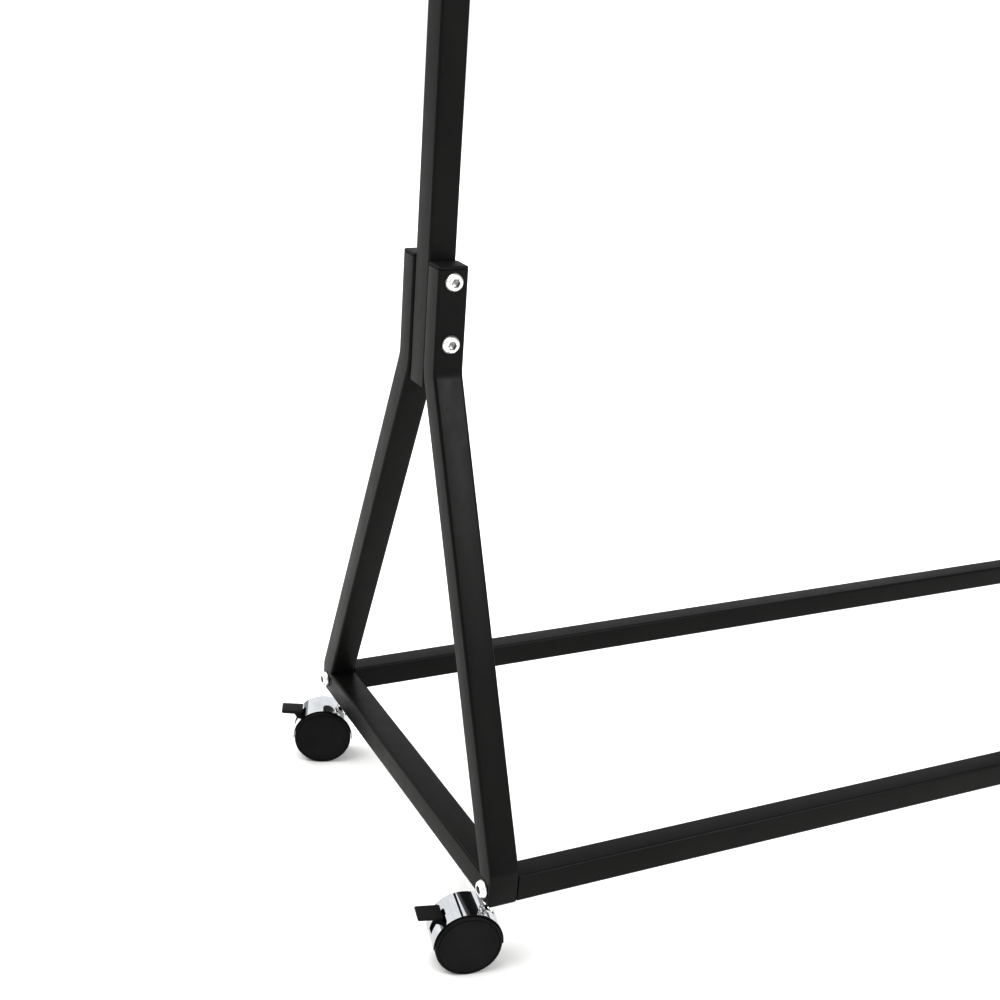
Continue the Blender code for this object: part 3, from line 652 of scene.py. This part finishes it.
def place_bolts():
    for side, side_name in SIDES:
        for name in ("upper", "lower"):
            place_bolt(f"{side_name}_post_bolt_{name}", "post_bolt", (0, -1))
        for name in ("front", "rear"):
            place_bolt(f"{side_name}_corner_bolt_{name}", "corner_bolt", (side, 0))
        for name in ("upper", "lower"):
            place_bolt(f"{side_name}_panel_bolt_{name}", "panel_bolt", (side, 0))


# ---------------------------------------------------------------- pegboard

def place_panel_rail(level_name, opens):
    """A grooved rail with rounded lips. opens is 1 where the groove opens upwards."""
    node = f"panel_rail_{level_name}"
    low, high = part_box(node)
    half = (high.y - low.y) / 2
    height = high.z - low.z
    groove = GROOVE_WIDTH / 2
    corner, lip = PANEL_RAIL_CORNER, PANEL_RAIL_LIP
    half_outline = arc((half - corner, corner), corner, -90.0, 0.0, CORNER_STEPS)
    half_outline += arc((half - lip, height - lip), lip, 0.0, 90.0, LIP_STEPS)
    half_outline += arc((groove + lip, height - lip), lip, 90.0, 180.0, LIP_STEPS)
    half_outline += [(groove, height - GROOVE_DEPTH)]
    outline = half_outline + [(-y, z) for y, z in reversed(half_outline)]
    base = low.z if opens > 0 else high.z
    shape = bmesh.new()
    rings = [[Vector((x, y, base + opens * z)) for y, z in outline] for x in (low.x, high.x)]
    add_skin(shape, rings)
    place_piece(f"{node}_channel", mesh_from(shape, node), [COAT], STAND, (node,))


def place_pegboard():
    """Perforated board: each hole is a cell of the board, with its edge broken on both faces."""
    low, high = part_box("pegboard")
    columns = round((high.x - low.x) / PEG_PITCH)
    rows = round((high.z - low.z) / PEG_PITCH)
    xs = [low.x] + [(i - columns / 2) * PEG_PITCH for i in range(1, columns)] + [high.x]
    middle = (low.z + high.z) / 2
    zs = [low.z] + [middle + (i - rows / 2) * PEG_PITCH for i in range(1, rows)] + [high.z]
    front, back = low.y, high.y
    shape = bmesh.new()
    corners = {}
    for face_y in (front, back):
        for i, x in enumerate(xs):
            for j, z in enumerate(zs):
                corners[face_y, i, j] = shape.verts.new((x, face_y, z))
    quarter = PEG_HOLE_STEPS // 4
    for i in range(columns):
        for j in range(rows):
            centre_x = (i + 0.5 - columns / 2) * PEG_PITCH
            centre_z = middle + (j + 0.5 - rows / 2) * PEG_PITCH
            rings = []
            for radius, y in ((PEG_HOLE_RADIUS + PEG_HOLE_EDGE, front),
                              (PEG_HOLE_RADIUS, front + PEG_HOLE_EDGE),
                              (PEG_HOLE_RADIUS, back - PEG_HOLE_EDGE),
                              (PEG_HOLE_RADIUS + PEG_HOLE_EDGE, back)):
                ring = []
                for step in range(PEG_HOLE_STEPS):
                    angle = (step + 0.5) / PEG_HOLE_STEPS * 2 * pi
                    ring.append(shape.verts.new((centre_x + radius * cos(angle), y,
                                                 centre_z + radius * sin(angle))))
                rings.append(ring)
            for near, far in zip(rings, rings[1:]):
                for step in range(PEG_HOLE_STEPS):
                    after = (step + 1) % PEG_HOLE_STEPS
                    wall = shape.faces.new((near[step], near[after], far[after], far[step]))
                    wall.material_index = 1
            for ring, face_y in ((rings[0], front), (rings[3], back)):
                around = [corners[face_y, i + 1, j + 1], corners[face_y, i, j + 1], corners[face_y, i, j],
                          corners[face_y, i + 1, j]]
                for side in range(4):
                    start = side * quarter + quarter // 2 - 1
                    points = [ring[(start + k) % PEG_HOLE_STEPS] for k in range(quarter + 1)]
                    shape.faces.new([around[side]] + points + [around[(side + 1) % 4]])
    for i in range(columns):
        for j in (0, rows):
            edge = [corners[front, i, j], corners[front, i + 1, j],
                    corners[back, i + 1, j], corners[back, i, j]]
            shape.faces.new(edge).material_index = 1
    for j in range(rows):
        for i in (0, columns):
            edge = [corners[front, i, j], corners[front, i, j + 1],
                    corners[back, i, j + 1], corners[back, i, j]]
            shape.faces.new(edge).material_index = 1
    place_piece("perforated_board", mesh_from(shape, "perforated_board"), [PAINT, FIBRE], STAND,
                ("pegboard",))


# ---------------------------------------------------------------- casters

def stem_shape():
    """Threaded stem: pin, round flange and a true helical thread up into the end rail."""
    rings = [level(circle(PIN_RADIUS - PIN_CHAMFER), STEM_BOTTOM),
             level(circle(PIN_RADIUS), STEM_BOTTOM + PIN_CHAMFER),
             level(circle(PIN_RADIUS), FLANGE_BOTTOM),
             level(circle(FLANGE_RADIUS - FLANGE_INSET), FLANGE_BOTTOM),
             level(circle(FLANGE_RADIUS), FLANGE_BOTTOM + FLANGE_CHAMFER),
             level(circle(FLANGE_RADIUS), FLANGE_TOP - FLANGE_CHAMFER),
             level(circle(FLANGE_RADIUS - FLANGE_INSET), FLANGE_TOP)]
    count = int((STEM_TOP - FLANGE_TOP) / THREAD_PITCH * THREAD_RINGS)
    for step in range(count + 1):
        height = FLANGE_TOP + step * THREAD_PITCH / THREAD_RINGS
        fade = min(1.0, step / THREAD_RINGS, (count - step) / THREAD_RINGS)
        ring = []
        for i in range(HEAD_STEPS):
            phase = ((height - FLANGE_TOP) / THREAD_PITCH - i / HEAD_STEPS) % 1.0
            ridge = min(1.0, max(0.0, THREAD_SLOPE * abs(2.0 * phase - 1.0) - THREAD_FOOT))
            radius = THREAD_RADIUS - THREAD_DEPTH * (1.0 - ridge * fade)
            angle = 2 * pi * i / HEAD_STEPS
            ring.append(Vector((radius * cos(angle), radius * sin(angle), height)))
        rings.append(ring)
    shape = bmesh.new()
    add_skin(shape, rings)
    return shape


def hood_shape():
    """Half-round hood over both wheels. Its grid is left open at the stem hole and the brake's slot."""
    axle = Vector((TRAIL, 0.0, WHEEL_RADIUS))
    skirt = degrees(acos((WHEEL_RADIUS - HOOD_SKIRT) / HOOD_RADIUS)) - 90.0
    last = 180.0 - skirt
    slot = [degrees(asin(height / HOOD_RADIUS)) for height in SLOT_HEIGHTS]
    stem = [degrees(acos(-(TRAIL + side) / HOOD_RADIUS)) for side in (-STEM_HOLE_HALF, STEM_HOLE_HALF)]
    angles = sorted({skirt, last, *slot, *stem})
    fine = []
    for start, end in zip(angles, angles[1:]):
        count = max(1, round((end - start) / HOOD_STEP))
        fine += [start + (end - start) * i / count for i in range(count)]
    fine.append(last)
    half_widths = [SLOT_HALF_WIDTH, *HOOD_BANDS, HOOD_HALF_WIDTH]
    widths = [-y for y in reversed(half_widths)] + [0.0] + half_widths
    shape = bmesh.new()
    grid = {}
    for i, angle in enumerate(fine):
        turn = radians(angle)
        for j, y in enumerate(widths):
            point = axle + Vector((HOOD_RADIUS * cos(turn), y, HOOD_RADIUS * sin(turn)))
            grid[i, j] = shape.verts.new(point)
    for i in range(len(fine) - 1):
        middle = (fine[i] + fine[i + 1]) / 2
        for j in range(len(widths) - 1):
            inner = abs(widths[j] + widths[j + 1]) / 2 < SLOT_HALF_WIDTH
            in_slot = inner and slot[0] < middle < slot[1]
            in_stem = inner and stem[0] < middle < stem[1]
            if not in_slot and not in_stem:
                shape.faces.new((grid[i, j], grid[i + 1, j], grid[i + 1, j + 1], grid[i, j + 1]))
    return shape


def core_shape():
    """Moulding between the wheels, with the fork for the brake left open."""
    radius = HOOD_RADIUS - HOOD_THICKNESS - CORE_GAP
    start = 180.0 - degrees(acos((TRAIL + CORE_BEHIND_STEM) / radius))
    outline = arc((TRAIL, WHEEL_RADIUS), radius, start, FORK_ANGLE, CORE_STEPS)
    lower = ((0.0092, 0.0062), (0.018, 0.006), (0.018, 0.002), (0.011, -0.008), (0.0, -0.011),
             (-0.011, -0.009), (-0.0215, -0.005))
    outline += [(TRAIL + x, WHEEL_RADIUS + z) for x, z in lower]
    shape = bmesh.new()
    add_skin(shape, [[Vector((x, y, z)) for x, z in outline] for y in (-CORE_HALF_WIDTH, CORE_HALF_WIDTH)])
    return shape


def wheel_profile():
    """(radius, height) from the middle of the inner face, round the tread, to the middle of the disc."""
    rim, width = WHEEL_EDGE, WHEEL_WIDTH
    profile = [(0.0030, 0.0006), (0.0060, 0.0), (0.0068, 0.0028), (0.0190, 0.0028), (0.0200, 0.0)]
    profile += arc((WHEEL_RADIUS - rim, rim), rim, -90.0, 0.0, 6)
    profile += [(WHEEL_RADIUS, width / 2)]
    profile += arc((WHEEL_RADIUS - rim, width - rim), rim, 0.0, 80.0, 5)
    profile += [(0.0233, width + 0.00012), (0.0231, width - RIM_GROOVE_DEPTH),
                (0.0227, width - RIM_GROOVE_DEPTH), (DISC_RADIUS, width + DISC_STEP)]
    for radius in (0.0205, 0.018, 0.014, 0.010, 0.006, 0.003):
        profile.append((radius, width + DISC_STEP + DISC_RISE * (1.0 - (radius / DISC_RADIUS) ** 2)))
    profile.append((0.0008, width + 0.00135))
    return profile


def wheel_shape():
    shape = bmesh.new()
    add_skin(shape, [level(circle(radius, WHEEL_STEPS), height) for radius, height in wheel_profile()])
    return shape


def brake_mesh():
    """Brake pedal about its pivot: a barrel and neck in the fork, and a wide wedge-shaped tread."""
    neck = arc((0.0, 0.0), BARREL_RADIUS, 130.0, 320.0, BARREL_STEPS)
    neck += [(0.0092, 0.0010), (0.0145, 0.0085), (0.0075, 0.0100)]
    tread = [(0.0047, 0.0106), (0.0050, 0.0096), (0.0085, 0.0079), (0.0226, 0.0086), (0.0234, 0.0093),
             (0.0234, 0.0106), (0.0226, 0.0113), (0.0100, 0.0109)]
    pieces = []
    for outline, half in ((neck, NECK_HALF_WIDTH), (tread, TREAD_HALF_WIDTH)):
        shape = bmesh.new()
        add_skin(shape, [[Vector((x, y, z)) for x, z in outline] for y in (-half, half)])
        bmesh.ops.recalc_face_normals(shape, faces=shape.faces)
        mesh = bpy.data.meshes.new("brake_part")
        shape.to_mesh(mesh)
        shape.free()
        item = bpy.data.objects.new("brake_part", mesh)
        bpy.context.scene.collection.objects.link(item)
        pieces.append(item)
    base, tool = pieces
    join = base.modifiers.new("join", "BOOLEAN")
    join.operation = "UNION"
    join.object = tool
    rounding = base.modifiers.new("rounding", "BEVEL")
    rounding.width = BRAKE_EDGE
    rounding.segments = 3
    rounding.limit_method = "ANGLE"
    rounding.angle_limit = radians(30.0)
    bpy.context.view_layer.update()
    evaluated = base.evaluated_get(bpy.context.evaluated_depsgraph_get())
    mesh = bpy.data.meshes.new_from_object(evaluated)
    for item in pieces:
        bpy.data.objects.remove(item, do_unlink=True)
    mesh.materials.clear()
    mesh.shade_smooth()
    mesh.set_sharp_from_angle(angle=radians(45.0))
    return mesh


def shell_of(hood):
    """Thicken the hood inwards and round its edges. Its inside and rounded edges take the black plastic:
    partly a black rim, and partly painted shade of the gap between the hood and the wheels.
    """
    shell = hood.modifiers.new("shell", "SOLIDIFY")
    shell.thickness = HOOD_THICKNESS
    shell.offset = -1.0
    # The inside and rim take the black plastic, partly as painted shade of the gap over the wheels.
    shell.material_offset = 1
    shell.material_offset_rim = 1
    rounding = hood.modifiers.new("rounding", "BEVEL")
    rounding.width = HOOD_EDGE
    rounding.segments = 3
    rounding.limit_method = "ANGLE"
    rounding.angle_limit = radians(40.0)
    rounding.harden_normals = True
    # The rounded edges are black, not chrome: partly a black rim, partly painted shade.
    rounding.material = 1


def place_caster(corner, heading):
    """A caster under a corner of the base, its wheels trailing at a heading in degrees from +X."""
    node = f"caster_{corner}"
    low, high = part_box(f"{node}_stem")
    stand = Matrix.Translation(((low.x + high.x) / 2, (low.y + high.y) / 2, 0.0))
    swivel = stand @ Matrix.Rotation(radians(heading), 4, "Z")
    axle = swivel @ Matrix.Translation((TRAIL, 0.0, WHEEL_RADIUS))
    place_piece(f"{node}_threaded_stem", mesh_from(stem_shape(), f"{node}_stem", 60.0), [STEEL], STAND,
                (f"{node}_stem",), stand)
    hood = place_piece(f"{node}_chrome_hood", mesh_from(hood_shape(), f"{node}_hood"), [CHROME, NYLON],
                       f"swivel_{corner}", (f"{node}_hood",), swivel)
    shell_of(hood)
    place_piece(f"{node}_moulded_core", mesh_from(core_shape(), f"{node}_core"), [NYLON],
                f"swivel_{corner}", (f"{node}_core",), swivel)
    for face, letter in ((1, "a"), (-1, "b")):
        inner = Matrix.Translation((0.0, face * WHEEL_GAP, 0.0)) @ Matrix.Rotation(-face * pi / 2, 4, "X")
        mesh = mesh_from(wheel_shape(), f"{node}_wheel_{letter}", 28.0)
        place_piece(f"{node}_disc_wheel_{letter}", mesh, [NYLON], f"wheel_{letter}_{corner}",
                    (f"{node}_wheel_{letter}",), axle @ inner)
    pivot = Matrix.Translation((BRAKE_PIVOT[0], 0.0, BRAKE_PIVOT[1]))
    place_piece(f"{node}_brake_pedal", brake_mesh(), [NYLON], f"brake_{corner}",
                (f"{node}_brake",), axle @ pivot)
    axle_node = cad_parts[f"{node}_axle"]
    axle_node.data.materials.clear()
    axle_node.data.materials.append(STEEL)


# ---------------------------------------------------------------- studio

def area_light(name, place, target, size, power, colour=(1.0, 1.0, 1.0)):
    """A rectangular light aimed at a point. The camera doesn't see it, and reflections do."""
    data = bpy.data.lights.new(name, "AREA")
    data.shape = "RECTANGLE"
    data.size, data.size_y = size
    data.energy = power
    data.color = colour
    light = bpy.data.objects.new(name, data)
    bpy.context.scene.collection.objects.link(light)
    light.location = place
    light.visible_camera = False
    light.rotation_euler = (Vector(target) - Vector(place)).to_track_quat("-Z", "Y").to_euler()


def make_studio():
    shape = bmesh.new()
    bmesh.ops.create_grid(shape, x_segments=1, y_segments=1, size=FLOOR_HALF)
    mesh = bpy.data.meshes.new("floor")
    shape.to_mesh(mesh)
    shape.free()
    mesh.materials.append(floor_paper())
    floor = bpy.data.objects.new("floor", mesh)
    bpy.context.scene.collection.objects.link(floor)

    world = bpy.data.worlds.new("studio")
    bpy.context.scene.world = world
    world.use_nodes = True
    background = world.node_tree.nodes["Background"]
    background.inputs["Color"].default_value = (1.0, 1.0, 1.0, 1.0)
    background.inputs["Strength"].default_value = WORLD_STRENGTH

    data = bpy.data.lights.new("overhead", "SUN")
    data.energy = SUN_POWER
    data.angle = SUN_SPREAD
    overhead = bpy.data.objects.new("overhead", data)
    bpy.context.scene.collection.objects.link(overhead)
    overhead.rotation_euler = Vector(SUN_DIRECTION).to_track_quat("-Z", "Y").to_euler()
    area_light("left_softbox", place=(-2.0, 0.6, 2.4), target=(-0.8, 0.4, 0.0), size=(3.4, 3.4), power=42.0,
               colour=(1.0, 0.985, 0.96))
    area_light("front_softbox", place=(0.7, -2.5, 1.95), target=(-0.4, 0.0, 0.45), size=(1.4, 1.0),
               power=66.0)
    area_light("back_softbox", place=(0.3, 3.8, 2.2), target=(0.0, 0.0, 0.3), size=(7.0, 3.0), power=60.0)
    view = bpy.context.scene.view_settings
    view.view_transform = "Standard"
    view.gamma = VIEW_GAMMA


def make_camera():
    data = bpy.data.cameras.new("camera")
    data.sensor_width = 36.0
    data.lens = CAMERA_LENS
    data.clip_start = 0.02
    data.clip_end = 120.0
    camera = bpy.data.objects.new("camera", data)
    bpy.context.scene.collection.objects.link(camera)
    turn = (Matrix.Rotation(-radians(CAMERA_HEADING), 4, "Z")
            @ Matrix.Rotation(radians(90.0 + CAMERA_PITCH), 4, "X")
            @ Matrix.Rotation(radians(CAMERA_ROLL), 4, "Z"))
    camera.matrix_world = Matrix.Translation(CAMERA_PLACE) @ turn
    bpy.context.scene.camera = camera


make_camera()
place_end_frames()
place_bolts()
place_panel_rail("lower", 1)
place_panel_rail("upper", -1)
place_pegboard()
for corner, heading in SWIVELS.items():
    place_caster(corner, heading)
make_studio()
